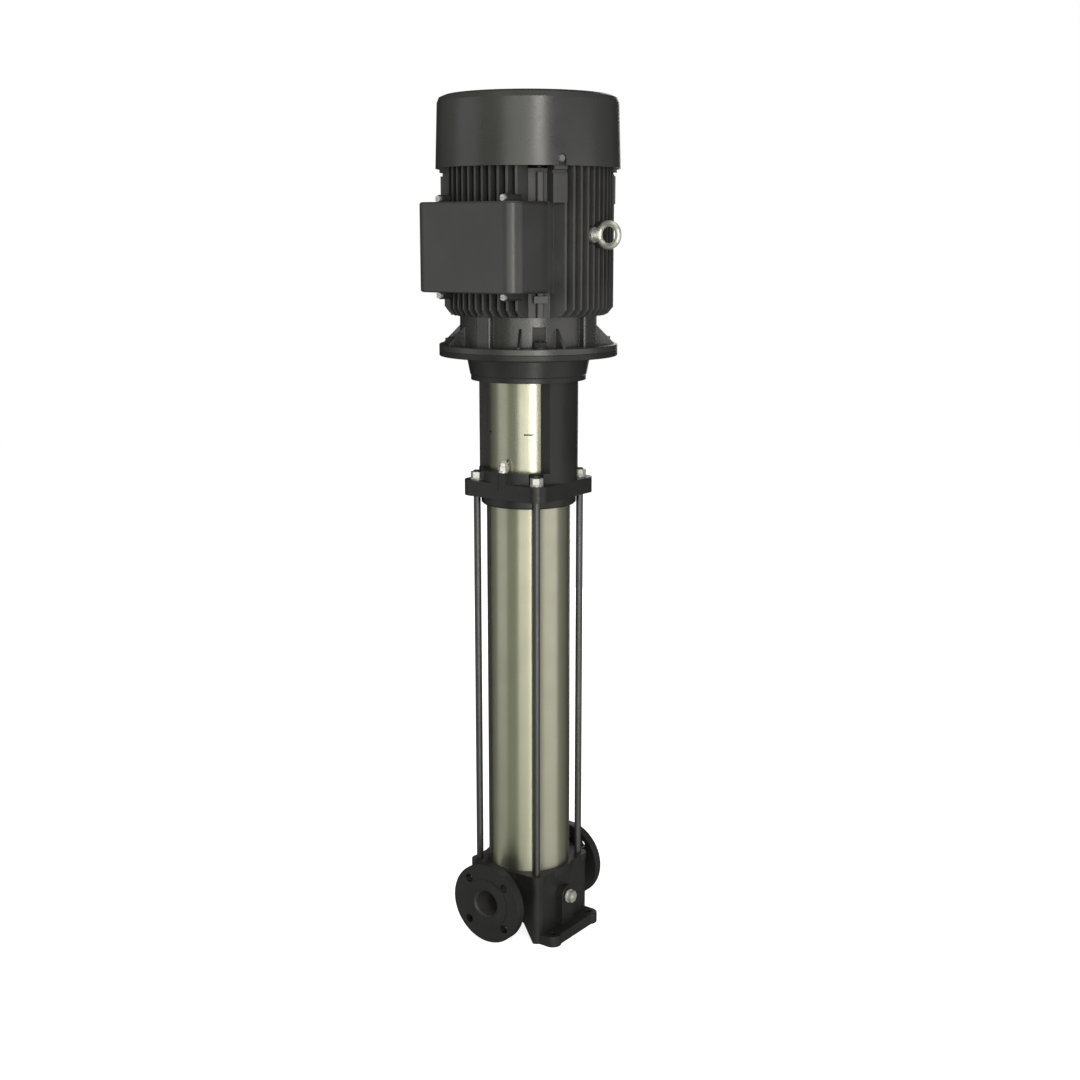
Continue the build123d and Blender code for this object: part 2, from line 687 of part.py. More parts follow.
# ================================================================ MOTOR: BEARINGS
def bearing(zc, width, r_in, r_out, pitch, ball, shoulder_in, shoulder_out, balls, cage_half, cage_ri, cage_ro, prefix):
    """Deep-groove ball bearing: outer ring, inner ring, balls with their cage."""
    with BuildPart() as outer:
        tube(shoulder_out, r_out, zc - width / 2, zc + width / 2)
        with Locations((0, 0, zc)):
            Torus(pitch, ball + 0.05, mode=Mode.SUBTRACT)
    save(outer, prefix + "_bearing_outer")
    with BuildPart() as inner:
        tube(r_in, shoulder_in, zc - width / 2, zc + width / 2)
        with Locations((0, 0, zc)):
            Torus(pitch, ball + 0.05, mode=Mode.SUBTRACT)
    save(inner, prefix + "_bearing_inner")
    with BuildPart() as cage:
        tube(cage_ri, cage_ro, zc - cage_half, zc + cage_half)
        with Locations((0, 0, zc)):
            with PolarLocations(pitch, balls):
                Cylinder(ball + 0.1, 14, rotation=(0, 90, 0), mode=Mode.SUBTRACT)
        with Locations((0, 0, zc)):
            with PolarLocations(pitch, balls):
                Sphere(ball)
    save(cage, prefix + "_bearing_balls")


bearing(1234.5, 25.0, 22.52, 50.0, 36.25, 8.7, 31.0, 41.5, 8, 10.8, 33.6, 38.9, "drive_end")
bearing(1559.5, 19.0, 22.52, 42.5, 32.5, 6.3, 28.4, 36.7, 9, 8.3, 30.3, 34.7, "fan_end")

# ================================================================ MOTOR: ROTOR
with BuildPart() as motor_shaft:
    turned([(0, 1097), (20, 1097), (21, 1098), (21, 1215), (22.5, 1215), (22.5, 1247), (26, 1247), (26, 1550), (22.5, 1550),
            (22.5, 1574), (19, 1574), (19, 1639), (18, 1640), (0, 1640)])
save(motor_shaft, "motor_shaft")

with BuildPart() as rotor_core:
    turned([(26.02, 1320), (55, 1320), (55, 1308), (78, 1308), (79.5, 1320), (79.5, 1500), (78, 1512), (55, 1512), (55, 1500), (26.02, 1500)])
save(rotor_core, "rotor_core")

with BuildPart() as stator_core:
    tube(80.0, frame_ri - 0.05, 1320, 1500)
save(stator_core, "stator_core")

with BuildPart() as stator_windings:
    turned([(86, 1320), (86, 1296), (90, 1290), (114, 1290), (118, 1296), (118, 1320)])
    turned([(86, 1500), (86, 1524), (90, 1530), (114, 1530), (118, 1524), (118, 1500)])
save(stator_windings, "stator_windings")

# ================================================================ MOTOR: FRAME
lug_ang = [-90 - 33, -90 + 33, 90 - 33, 90 + 33]
lid_screws_yz = [(sy * lid_screw_y, z) for sy in (-1, 1) for z in (box_z0 - lid_screw_dz, box_z1 + lid_screw_dz)]
with BuildPart() as motor_frame:
    tube(0, frame_ro, frame_bottom, frame_top)
    # cooling fins, parallel within each quarter
    with BuildSketch(Plane.XY.offset(frame_bottom)) as fins:
        for k in range(-fin_count, fin_count + 1):
            with Locations((k * fin_pitch, 0)):
                Rectangle(fin_thick, 2 * fin_r)
            with Locations((0, k * fin_pitch)):
                Rectangle(2 * fin_r, fin_thick)
        Circle(fin_r, mode=Mode.INTERSECT)
        Circle(frame_ro - 3, mode=Mode.SUBTRACT)
    extrude(amount=fin_top - frame_bottom)
    tube(0, frame_ro + 1, frame_top, fin_top + 5, Mode.SUBTRACT)
    for a in lug_ang:
        with Locations(Location((0, 0, frame_top + 12.5), (0, 0, a))):
            with Locations((158, 0, 0)):
                Box(60, 29, 25, mode=Mode.SUBTRACT)
    # outer lower corner of the fins rounded off
    turned([(148, frame_bottom - 4), (fin_r + 5, frame_bottom - 4), (fin_r + 5, frame_bottom + 16), (fin_r - 1, frame_bottom + 14), (156, frame_bottom + 3), (148, frame_bottom - 2)], Mode.SUBTRACT)
    tube(frame_ri, 141, frame_bottom - 4, frame_bottom, Mode.SUBTRACT)
    # ribs on the diagonals
    with BuildSketch(Plane.XY.offset(frame_bottom)):
        with PolarLocations(143, 4, start_angle=45):
            RectangleRounded(18, 13, 3)
    extrude(amount=frame_top - frame_bottom)
    # room round the terminal box
    with BuildSketch(Plane.XY.offset(box_z0 - 0.4)):
        with Locations((-200 + box_back, 0)):
            Rectangle(400, 2 * box_half_w + 6)
        Circle(frame_ro, mode=Mode.SUBTRACT)
    extrude(amount=box_z1 - box_z0 + 0.8, mode=Mode.SUBTRACT)
    with BuildSketch(Plane.YZ.offset(-200)):
        with Locations(*lid_screws_yz):
            Circle(8.5)
    extrude(amount=69, mode=Mode.SUBTRACT)
    # saddle that carries the terminal box, and the terminal board pad
    with Locations(((box_back - 60) / 2, 0, box_zc)):
        Box(-60 - box_back, 2 * box_half_w, box_z1 - box_z0)
    with Locations((-139.5, 0, box_zc)):
        Box(7, 96, 76)
    # pads for the fan-end shield lugs
    for a in lug_ang:
        with Locations(Location((0, 0, 1511), (0, 0, a))):
            with Locations((151, 0, 0)):
                Box(34, 28, 52)
    for a in lug_ang:
        with Locations(Location((0, 0, frame_top), (0, 0, a))):
            with Locations((149.5, 0, 0)):
                Box(29, 28, 7)
    tube(0, frame_ro + 1, frame_top, frame_top + 5, Mode.SUBTRACT)
    # earth terminal bosses on the front diagonal ribs
    for a in (-135, 45):
        with Locations(Location((0, 0, 1309), (0, 0, a))):
            with Locations((147, 0, 0)):
                Box(20, 26, 13)
    # lugs for the drive-end screws
    with BuildSketch(Plane.XY.offset(frame_bottom)):
        with PolarLocations(138, 4):
            RectangleRounded(22, 24, 4)
    extrude(amount=22)
    # lifting bosses on -Y and +Y, fins cleared about them
    for s in (-1, 1):
        with BuildSketch(Plane.XZ.offset(s * 152)):
            with Locations((0, 1427)):
                Circle(25)
        extrude(amount=s * 30, mode=Mode.SUBTRACT)
        with BuildSketch(Plane.XZ.offset(s * 132)):
            with Locations((0, 1427)):
                Circle(16)
        extrude(amount=s * 20)
    # bore, tapped holes
    tube(0, frame_ri, frame_bottom - 10, frame_top + 10, Mode.SUBTRACT)
    for s in (-1, 1):
        with BuildSketch(Plane.XZ.offset(s * 139)):
            with Locations((0, 1427)):
                Circle(6.02)
        extrude(amount=s * 30, mode=Mode.SUBTRACT)
    with BuildSketch(Plane.XY.offset(frame_bottom - 1)):
        with PolarLocations(138, 4):
            Circle(4.02)
    extrude(amount=19, mode=Mode.SUBTRACT)
    with BuildSketch(Plane.XY.offset(frame_top + 1)):
        with PolarLocations(133, 4, start_angle=45):
            Circle(3.02)
    extrude(amount=-22, mode=Mode.SUBTRACT)
save(motor_frame, "motor_frame")

with BuildPart() as end_shield_screws:
    with BuildSketch(Plane.XY.offset(joint_z + 1.5)):
        with PolarLocations(138, 4):
            Circle(6.5)
    extrude(amount=6.5)
    with BuildSketch(Plane.XY.offset(joint_z + 7)):
        with PolarLocations(138, 4):
            Circle(4)
    extrude(amount=frame_bottom + 16 - joint_z - 7)
    with BuildSketch(Plane.XY.offset(frame_top + 8)):
        with PolarLocations(133, 4, start_angle=45):
            Circle(5)
    extrude(amount=6)
    with BuildSketch(Plane.XY.offset(frame_top + 9)):
        with PolarLocations(133, 4, start_angle=45):
            Circle(3)
    extrude(amount=-28)
save(end_shield_screws, "end_shield_screws")

with BuildPart() as fan_end_shield:
    turned([(27.5, 1544), (60, 1540), (112, 1540), (112, 1534), (frame_ri - 0.05, 1534), (frame_ri - 0.05, frame_top), (frame_ro, frame_top),
            (frame_ro, 1547), (138 - 1, 1548), (70, 1548), (56, 1552), (54, 1572), (42.52, 1572), (42.52, 1550), (27.5, 1550)])
    for a in lug_ang:
        with Locations(Location((0, 0, 1559), (0, 0, a))):
            with Locations((153, 0, 0)):
                Box(44, 26, 30)
    tube(dent_floor - 2.1, 200, 1530, 1590, Mode.SUBTRACT)
    tube(0, 70, 1572, 1600, Mode.SUBTRACT)
    with BuildSketch(Plane.XY.offset(frame_top - 2)):
        with PolarLocations(133, 4, start_angle=45):
            Circle(3.2)
    extrude(amount=20, mode=Mode.SUBTRACT)
    for a in lug_ang:
        with BuildSketch(Plane(origin=(0, 0, cover_screw_z), z_dir=(math.cos(math.radians(a)), math.sin(math.radians(a)), 0)).offset(155)):
            Circle(3.02)
        extrude(amount=40, mode=Mode.SUBTRACT)
save(fan_end_shield, "fan_end_shield")

# ================================================================ FAN AND COVER
with BuildPart() as cooling_fan:
    turned([(19.02, 1588), (30, 1588), (34, 1600), (150, 1600), (150, 1603), (34, 1603), (30, 1626), (19.02, 1626)])
    for k in range(8):
        with Locations(Location((0, 0, 1616), (0, 0, 45 * k))):
            with Locations((90, 0, 0)):
                Box(116, 3, 30)
save(cooling_fan, "cooling_fan")

with BuildPart() as fan_cover:
    turned([(cover_r0 - 2, cover_z0), (cover_r0, cover_z0), (cover_r1, cover_z1 - 13), (cover_r1 - 3.8, cover_z1 - 3.8), (cover_r1 - 13, cover_z1),
            (148, cover_z1), (148, cover_z1 - 2), (cover_r1 - 13.6, cover_z1 - 2), (cover_r1 - 5.2, cover_z1 - 5.2), (cover_r1 - 2, cover_z1 - 13.6)])
    # air inlet grille: rings on eight spokes
    with BuildSketch(Plane.XY.offset(cover_z1 - 2)) as grille:
        Circle(149)
        Circle(146, mode=Mode.SUBTRACT)
        for r in range(26, 145, 12):
            with BuildSketch(mode=Mode.PRIVATE) as one_ring:
                Circle(r + 1.6)
                Circle(r - 1.6, mode=Mode.SUBTRACT)
            add(one_ring.sketch)
        Circle(16)
        with PolarLocations(0, 4, angular_range=180):
            Rectangle(294, 5)
    extrude(amount=2)
    # dents in the skirt, open at the lower edge, with a screw in each
    for a in lug_ang:
        radial = Plane(origin=(0, 0, cover_screw_z), x_dir=(-math.sin(math.radians(a)), math.cos(math.radians(a)), 0), z_dir=(math.cos(math.radians(a)), math.sin(math.radians(a)), 0))
        with BuildSketch(radial.offset(dent_floor - 1.5)):
            Circle(9)
            with Locations((0, (cover_z0 - cover_screw_z) / 2)):
                Rectangle(18, cover_screw_z - cover_z0)
        extrude(amount=12)
    turned([(cover_r0, cover_z0 - 5), (cover_r0, cover_z0), (cover_r1, cover_z1 - 13), (cover_r1, cover_z1 - 5), (220, cover_z1 - 5), (220, cover_z0 - 5)], Mode.SUBTRACT)
    for a in lug_ang:
        radial = Plane(origin=(0, 0, cover_screw_z), x_dir=(-math.sin(math.radians(a)), math.cos(math.radians(a)), 0), z_dir=(math.cos(math.radians(a)), math.sin(math.radians(a)), 0))
        with BuildSketch(radial.offset(dent_floor)):
            Circle(7.5)
            with Locations((0, (cover_z0 - cover_screw_z - 5) / 2)):
                Rectangle(15, cover_screw_z - cover_z0 + 5)
        extrude(amount=30, mode=Mode.SUBTRACT)
        with BuildSketch(radial.offset(dent_floor - 10)):
            Circle(3.4)
        extrude(amount=40, mode=Mode.SUBTRACT)
save(fan_cover, "fan_cover")

with BuildPart() as fan_cover_screws:
    for a in lug_ang:
        radial = Plane(origin=(0, 0, cover_screw_z), z_dir=(math.cos(math.radians(a)), math.sin(math.radians(a)), 0))
        with BuildSketch(radial.offset(158)):
            Circle(3.0)
        extrude(amount=dent_floor + 1 - 158)
        with BuildSketch(radial.offset(dent_floor)):
            Circle(6.6)
        extrude(amount=1.3)
        with BuildSketch(radial.offset(dent_floor + 1.3)):
            RegularPolygon(5, 6, major_radius=False)
        extrude(amount=3.4)
save(fan_cover_screws, "fan_cover_screws")

# ================================================================ TERMINAL BOX
ears_yz = [(y, z + (4 if z < box_zc else -4)) for y, z in lid_screws_yz]
with BuildPart() as terminal_box_body:
    with BuildSketch(Plane.YZ.offset(box_seam)):
        with Locations((0, box_zc)):
            RectangleRounded(2 * box_half_w, box_z1 - box_z0, 8)
    extrude(amount=box_back - box_seam)
    with BuildSketch(Plane.YZ.offset(box_seam)):
        with Locations(*lid_screws_yz):
            Circle(7.5)
        with Locations(*ears_yz):
            Rectangle(15, 8)
    extrude(amount=40)
    # cable entry bosses on the +Y side
    with BuildSketch(Plane.XZ.offset(-(box_half_w - 2))):
        with Locations((-136, box_zc - 30), (-136, box_zc + 30)):
            Circle(22)
    extrude(amount=-8)
    with BuildSketch(Plane.YZ.offset(box_seam - 5)):
        with Locations((0, box_zc)):
            RectangleRounded(2 * box_half_w - 9, box_z1 - box_z0 - 9, 4)
    extrude(amount=120, mode=Mode.SUBTRACT)
    # corner lugs inside, for the screws that hold the body to the saddle
    for sy in (-1, 1):
        for z in (box_z0 + 13, box_z1 - 13):
            with Locations((box_back - 4, sy * (box_half_w - 9), z)):
                Box(8, 14, 20)
    tube(0, frame_ro + 0.3, box_z0 - 30, box_z1 + 30, Mode.SUBTRACT)
    with BuildSketch(Plane.XZ.offset(-(box_half_w - 10))):
        with Locations((-136, box_zc - 30), (-136, box_zc + 30)):
            Circle(15.2)
    extrude(amount=-40, mode=Mode.SUBTRACT)
    with BuildSketch(Plane.YZ.offset(box_seam - 1)):
        with Locations(*lid_screws_yz):
            Circle(3.02)
    extrude(amount=33, mode=Mode.SUBTRACT)
save(terminal_box_body, "terminal_box_body")

with BuildPart() as terminal_box_gasket:
    with BuildSketch(Plane.YZ.offset(box_seam - 1.2)):
        with Locations((0, box_zc)):
            RectangleRounded(2 * box_half_w - 0.6, box_z1 - box_z0 - 0.6, 7.7)
            RectangleRounded(2 * box_half_w - 10, box_z1 - box_z0 - 10, 4, mode=Mode.SUBTRACT)
    extrude(amount=1.2)
save(terminal_box_gasket, "terminal_box_gasket")

lid_back = box_seam - 1.2
with BuildPart() as terminal_box_lid:
    with BuildSketch(Plane.XY.offset(box_z0)) as lid_plan:
        with BuildLine():
            Polyline((lid_back, -box_half_w), (box_front, -box_half_w), (box_front, box_half_w), (lid_back, box_half_w), close=True)
        make_face()
        fillet(lid_plan.vertices().sort_by(Axis.X)[:2], radius=28)
    extrude(amount=box_z1 - box_z0)
    fillet(terminal_box_lid.faces().filter_by(Plane.XY).sort_by(Axis.Z)[-1].edges().filter_by(lambda e: e.center().X < lid_back - 0.5), radius=5)
    fillet(terminal_box_lid.faces().filter_by(Plane.XY).sort_by(Axis.Z)[0].edges().filter_by(lambda e: e.center().X < lid_back - 0.5), radius=5)
    with BuildSketch(Plane.XY.offset(box_z0 + 4.5)) as lid_room:
        with BuildLine():
            Polyline((lid_back + 5, -box_half_w + 4.5), (box_front + 4, -box_half_w + 4.5), (box_front + 4, box_half_w - 4.5), (lid_back + 5, box_half_w - 4.5), close=True)
        make_face()
        fillet(lid_room.vertices().sort_by(Axis.X)[:2], radius=24)
    extrude(amount=box_z1 - box_z0 - 9, mode=Mode.SUBTRACT)
    with BuildSketch(Plane.YZ.offset(lid_back)):
        with Locations(*lid_screws_yz):
            Circle(7.5)
        with Locations(*ears_yz):
            Rectangle(15, 8)
    extrude(amount=-3)
    with BuildSketch(Plane.YZ.offset(lid_back + 5)):
        with Locations((0, box_zc)):
            RectangleRounded(2 * box_half_w - 9, box_z1 - box_z0 - 9, 4)
    extrude(amount=-14, mode=Mode.SUBTRACT)
    with BuildSketch(Plane.YZ.offset(lid_back + 5)):
        with Locations(*lid_screws_yz):
            Circle(3.3)
    extrude(amount=-30, mode=Mode.SUBTRACT)
save(terminal_box_lid, "terminal_box_lid")

with BuildPart() as terminal_lid_screws:
    with BuildSketch(Plane.YZ.offset(lid_back - 3)):
        with Locations(*lid_screws_yz):
            Circle(3.0)
    extrude(amount=34)
    with BuildSketch(Plane.YZ.offset(lid_back - 3)):
        with Locations(*lid_screws_yz):
            Circle(5.8)
    extrude(amount=-6)
    with BuildSketch(Plane.YZ.offset(lid_back - 9)):
        with Locations(*lid_screws_yz):
            Rectangle(13, 1.6)
    extrude(amount=2.2, mode=Mode.SUBTRACT)
save(terminal_lid_screws, "terminal_lid_screws")

with BuildPart() as terminal_board:
    with Locations((-146, 0, box_zc)):
        Box(6, 90, 70)
    with Locations((-151, 0, box_zc)):
        Box(8, 4, 70)
    with Locations((-151, -28, box_zc), (-151, 28, box_zc)):
        Box(8, 3, 70)
save(terminal_board, "terminal_board")

with BuildPart() as terminal_studs:
    with BuildSketch(Plane.YZ.offset(-149)):
        with Locations((0, box_zc)):
            with Locations(*[(y, z) for y in (-36, -14, 14) for z in (-20, 20)]):
                Circle(3)
    extrude(amount=-20)
    with BuildSketch(Plane.YZ.offset(-149)):
        with Locations((0, box_zc)):
            with Locations(*[(y, z) for y in (-36, -14, 14) for z in (-20, 20)]):
                RegularPolygon(5, 6, major_radius=False)
    extrude(amount=-6)
save(terminal_studs, "terminal_studs")

with BuildPart() as cable_entry_plug:
    with BuildSketch(Plane.XZ.offset(-(box_half_w + 6))):
        with Locations((-136, box_zc - 30)):
            RegularPolygon(18, 6, major_radius=False)
    extrude(amount=-5)
    with BuildSketch(Plane.XZ.offset(-(box_half_w + 6.5))):
        with Locations((-136, box_zc - 30)):
            Circle(15.1)
    extrude(amount=10.5)
save(cable_entry_plug, "cable_entry_plug")

# ================================================================ EYE BOLTS
with BuildPart() as eye_bolts:
    for s in (-1, 1):
        with BuildSketch(Plane.XZ.offset(s * 140)):
            with Locations((0, 1427)):
                Circle(6)
        extrude(amount=s * 13)
        with BuildSketch(Plane.XZ.offset(s * 152)):
            with Locations((0, 1427)):
                Circle(14)
        extrude(amount=s * 4.5)
        with BuildSketch(Plane.XZ.offset(s * 156)):
            with Locations((0, 1427)):
                Circle(11)
        extrude(amount=s * 3)
        with BuildSketch(Plane.XZ.offset(s * 158.5)):
            with Locations((0, 1427)):
                Circle(12.2)
        extrude(amount=s * 9, taper=20)
        with Locations(Location((0, -s * 187, 1427), (0, 90, 0))):
            Torus(21, 6)
save(eye_bolts, "eye_bolts")
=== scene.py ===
"""Vertical multistage pump: finishes, small detail pieces, floor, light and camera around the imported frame."""
import json
import math

import bmesh
import bpy
from mathutils import Matrix, Vector


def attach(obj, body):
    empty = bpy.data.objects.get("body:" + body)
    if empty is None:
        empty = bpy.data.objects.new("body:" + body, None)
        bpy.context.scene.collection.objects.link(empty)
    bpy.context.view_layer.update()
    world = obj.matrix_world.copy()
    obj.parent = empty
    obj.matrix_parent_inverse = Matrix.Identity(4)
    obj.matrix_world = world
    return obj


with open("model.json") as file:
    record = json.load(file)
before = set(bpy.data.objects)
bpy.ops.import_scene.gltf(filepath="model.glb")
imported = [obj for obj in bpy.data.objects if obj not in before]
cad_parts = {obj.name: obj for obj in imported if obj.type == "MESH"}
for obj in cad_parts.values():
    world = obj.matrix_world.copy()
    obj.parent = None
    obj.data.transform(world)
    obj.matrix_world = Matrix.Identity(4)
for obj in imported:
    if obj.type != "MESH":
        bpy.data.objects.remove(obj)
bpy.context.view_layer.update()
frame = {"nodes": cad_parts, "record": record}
nodes = frame["nodes"]
record = frame["record"]
slot_of = {s["node"]: s["material_slot"] for s in record["subparts"]}


# ------------------------------------------------------------------ node helpers
def put(nt, kind, **values):
    node = nt.nodes.new(kind)
    for key, value in values.items():
        if hasattr(node, key):
            setattr(node, key, value)
        else:
            raise AttributeError(f"{kind} has no {key}")
    return node


def feed(nt, node, name, value):
    socket = node.inputs[name]
    if isinstance(value, bpy.types.NodeSocket):
        nt.links.new(value, socket)
    else:
        socket.default_value = value


def coords(nt, scale):
    """Object coordinates in metres, stretched by scale."""
    tc = put(nt, "ShaderNodeTexCoord")
    mp = put(nt, "ShaderNodeMapping")
    feed(nt, mp, "Vector", tc.outputs["Object"])
    mp.inputs["Scale"].default_value = scale
    return mp.outputs["Vector"]


def noise(nt, scale, detail=3.0, rough=0.5, stretch=(1, 1, 1), distortion=0.0):
    node = put(nt, "ShaderNodeTexNoise")
    feed(nt, node, "Vector", coords(nt, stretch))
    feed(nt, node, "Scale", scale)
    feed(nt, node, "Detail", detail)
    feed(nt, node, "Roughness", rough)
    feed(nt, node, "Distortion", distortion)
    return node.outputs["Fac"]


def spread(nt, fac, low, high, to_low, to_high):
    node = put(nt, "ShaderNodeMapRange")
    feed(nt, node, "Value", fac)
    feed(nt, node, "From Min", low)
    feed(nt, node, "From Max", high)
    feed(nt, node, "To Min", to_low)
    feed(nt, node, "To Max", to_high)
    return node.outputs["Result"]


def maths(nt, op, a, b=0.0, clamp=False):
    node = put(nt, "ShaderNodeMath", operation=op, use_clamp=clamp)
    for i, v in enumerate((a, b)):
        if isinstance(v, bpy.types.NodeSocket):
            nt.links.new(v, node.inputs[i])
        else:
            node.inputs[i].default_value = v
    return node.outputs[0]


def blend_colour(nt, fac, a, b):
    node = put(nt, "ShaderNodeMix", data_type="RGBA")
    sockets = {s.identifier: s for s in node.inputs}
    for key, value in (("Factor_Float", fac), ("A_Color", a), ("B_Color", b)):
        if isinstance(value, bpy.types.NodeSocket):
            nt.links.new(value, sockets[key])
        else:
            sockets[key].default_value = value if key == "Factor_Float" else (*value, 1.0)
    return {s.identifier: s for s in node.outputs}["Result_Color"]


def bump(nt, height, strength, distance, normal=None):
    node = put(nt, "ShaderNodeBump")
    feed(nt, node, "Height", height)
    feed(nt, node, "Strength", strength)
    feed(nt, node, "Distance", distance)
    if normal is not None:
        feed(nt, node, "Normal", normal)
    return node.outputs["Normal"]


def soft_edges(nt, radius, samples=4):
    node = put(nt, "ShaderNodeBevel", samples=samples)
    feed(nt, node, "Radius", radius)
    return node.outputs["Normal"]


def edge_mask(nt, rounded, low, high):
    """1 where the rounded normal turns away from the face's own, which is along the edges."""
    geo = put(nt, "ShaderNodeNewGeometry")
    dot = put(nt, "ShaderNodeVectorMath", operation="DOT_PRODUCT")
    nt.links.new(rounded, dot.inputs[0])
    nt.links.new(geo.outputs["Normal"], dot.inputs[1])
    return spread(nt, dot.outputs["Value"], high, low, 0.0, 1.0)


def new_material(name, **shader):
    m = bpy.data.materials.new(name)
    m.use_nodes = True
    nt = m.node_tree
    bsdf = nt.nodes["Principled BSDF"]
    for key, value in shader.items():
        bsdf.inputs[key.replace("_", " ")].default_value = value
    return m, nt, bsdf


# ------------------------------------------------------------------ finishes
def cast_paint(name, dark, light, rough, grain, worn, edge=0.0011, specular=0.5):
    """Paint over a sand casting: grain, slow waviness, dust in the tone, thin paint along the edges."""
    m, nt, bsdf = new_material(name, Specular_IOR_Level=specular)
    slow = noise(nt, 11.0, 4.0, 0.55)
    fine = noise(nt, 260.0, 5.0, 0.62)
    tone = spread(nt, slow, 0.3, 0.7, 0.0, 1.0)
    colour = blend_colour(nt, tone, dark, light)
    speck = spread(nt, fine, 0.58, 0.74, 0.0, 0.55)
    colour = blend_colour(nt, speck, colour, tuple(min(1.0, 1.5 * c) for c in light))
    rounded = soft_edges(nt, edge)
    rim = edge_mask(nt, rounded, 0.80, 0.99)
    rim = maths(nt, "MULTIPLY", rim, spread(nt, noise(nt, 70.0, 3.0, 0.6), 0.38, 0.62, 0.25, 1.0))
    colour = blend_colour(nt, maths(nt, "MULTIPLY", rim, 0.6), colour, worn)
    feed(nt, bsdf, "Base Color", colour)
    feed(nt, bsdf, "Roughness", spread(nt, maths(nt, "ADD", fine, slow), 0.7, 1.3, rough - 0.07, rough + 0.09))
    n = bump(nt, noise(nt, 34.0, 3.0, 0.5), 0.35, 0.0011, rounded)
    n = bump(nt, fine, grain, 0.0006, n)
    n = bump(nt, noise(nt, 720.0, 2.0, 0.6), grain * 0.6, 0.0003, n)
    feed(nt, bsdf, "Normal", n)
    return m


def smooth_paint(name, dark, light, rough, peel, specular=0.6, coat=0.0, coat_rough=0.2, bevel=True):
    """Sprayed paint on sheet or a pressure die casting: fine orange peel and a faint drift in gloss."""
    m, nt, bsdf = new_material(name, Specular_IOR_Level=specular, Coat_Weight=coat, Coat_Roughness=coat_rough)
    slow = noise(nt, 7.0, 3.0, 0.5)
    colour = blend_colour(nt, spread(nt, slow, 0.32, 0.68, 0.0, 1.0), dark, light)
    dust = spread(nt, noise(nt, 900.0, 2.0, 0.7), 0.70, 0.80, 0.0, 0.5)
    colour = blend_colour(nt, dust, colour, tuple(1.6 * c for c in light))
    feed(nt, bsdf, "Base Color", colour)
    smudge = noise(nt, 26.0, 5.0, 0.6, distortion=0.6)
    feed(nt, bsdf, "Roughness", spread(nt, smudge, 0.3, 0.7, rough - 0.035, rough + 0.05))
    n = bump(nt, noise(nt, 330.0, 2.0, 0.5), peel, 0.00025, soft_edges(nt, 0.0009) if bevel else None)
    n = bump(nt, noise(nt, 12.0, 2.0, 0.5), 0.12, 0.0016, n)
    feed(nt, bsdf, "Normal", n)
    return m


def brushed(name, base, tint, rough, lines, stretch, aniso=0.0, radial=False, bump_by=0.25, deep=0.00003, metallic=1.0):
    """Bare steel with fine lines from rolling, drawing or grinding."""
    m, nt, bsdf = new_material(name, Metallic=metallic)
    if aniso:
        bsdf.inputs["Anisotropic"].default_value = aniso
        bsdf.inputs["Anisotropic Rotation"].default_value = 0.25
        tangent = put(nt, "ShaderNodeTangent", direction_type="RADIAL", axis="Z")
        nt.links.new(tangent.outputs["Tangent"], bsdf.inputs["Tangent"])
    line = noise(nt, lines, 4.0, 0.65, stretch)
    broad = noise(nt, lines * 0.12, 3.0, 0.55, stretch)
    cloud = noise(nt, 13.0, 4.0, 0.55)
    colour = blend_colour(nt, spread(nt, line, 0.3, 0.7, 0.0, 1.0), base, tint)
    colour = blend_colour(nt, spread(nt, cloud, 0.35, 0.75, 0.0, 0.35), colour, tuple(0.86 * c for c in base))
    feed(nt, bsdf, "Base Color", colour)
    mix = maths(nt, "ADD", maths(nt, "MULTIPLY", line, 0.6), maths(nt, "MULTIPLY", cloud, 0.4))
    feed(nt, bsdf, "Roughness", spread(nt, mix, 0.32, 0.68, rough - 0.05, rough + 0.07))
    n = bump(nt, line, bump_by, deep, soft_edges(nt, 0.0004))
    n = bump(nt, broad, 0.2, deep * 3, n)
    feed(nt, bsdf, "Normal", n)
    return m


def turned_metal(name, base, rough, grain=380.0, metallic=1.0, stain=(0.2, 0.17, 0.12)):
    """Machined or plated small parts: bright, with faint tool marks and a little tarnish in the tone."""
    m, nt, bsdf = new_material(name, Metallic=metallic)
    mark = noise(nt, grain, 4.0, 0.6)
    cloud = noise(nt, 60.0, 4.0, 0.6)
    colour = blend_colour(nt, spread(nt, mark, 0.3, 0.7, 0.0, 1.0), tuple(0.9 * c for c in base), base)
    colour = blend_colour(nt, spread(nt, cloud, 0.6, 0.8, 0.0, 0.35), colour, stain)
    feed(nt, bsdf, "Base Color", colour)
    feed(nt, bsdf, "Roughness", spread(nt, cloud, 0.3, 0.7, rough - 0.05, rough + 0.08))
    n = bump(nt, mark, 0.15, 0.00006, soft_edges(nt, 0.0005))
    feed(nt, bsdf, "Normal", n)
    return m


def moulded(name, dark, light, rough, grain=500.0, specular=0.45):
    """Moulded plastic, rubber and the like: spark-eroded grain."""
    m, nt, bsdf = new_material(name, Specular_IOR_Level=specular)
    fine = noise(nt, grain, 3.0, 0.6)
    slow = noise(nt, 25.0, 3.0, 0.5)
    colour = blend_colour(nt, spread(nt, slow, 0.3, 0.7, 0.0, 1.0), dark, light)
    colour = blend_colour(nt, spread(nt, fine, 0.55, 0.8, 0.0, 0.4), colour, tuple(1.5 * c for c in light))
    feed(nt, bsdf, "Base Color", colour)
    feed(nt, bsdf, "Roughness", spread(nt, fine, 0.3, 0.7, rough - 0.05, rough + 0.08))
    feed(nt, bsdf, "Normal", bump(nt, fine, 0.25, 0.0002, soft_edges(nt, 0.0005)))
    return m


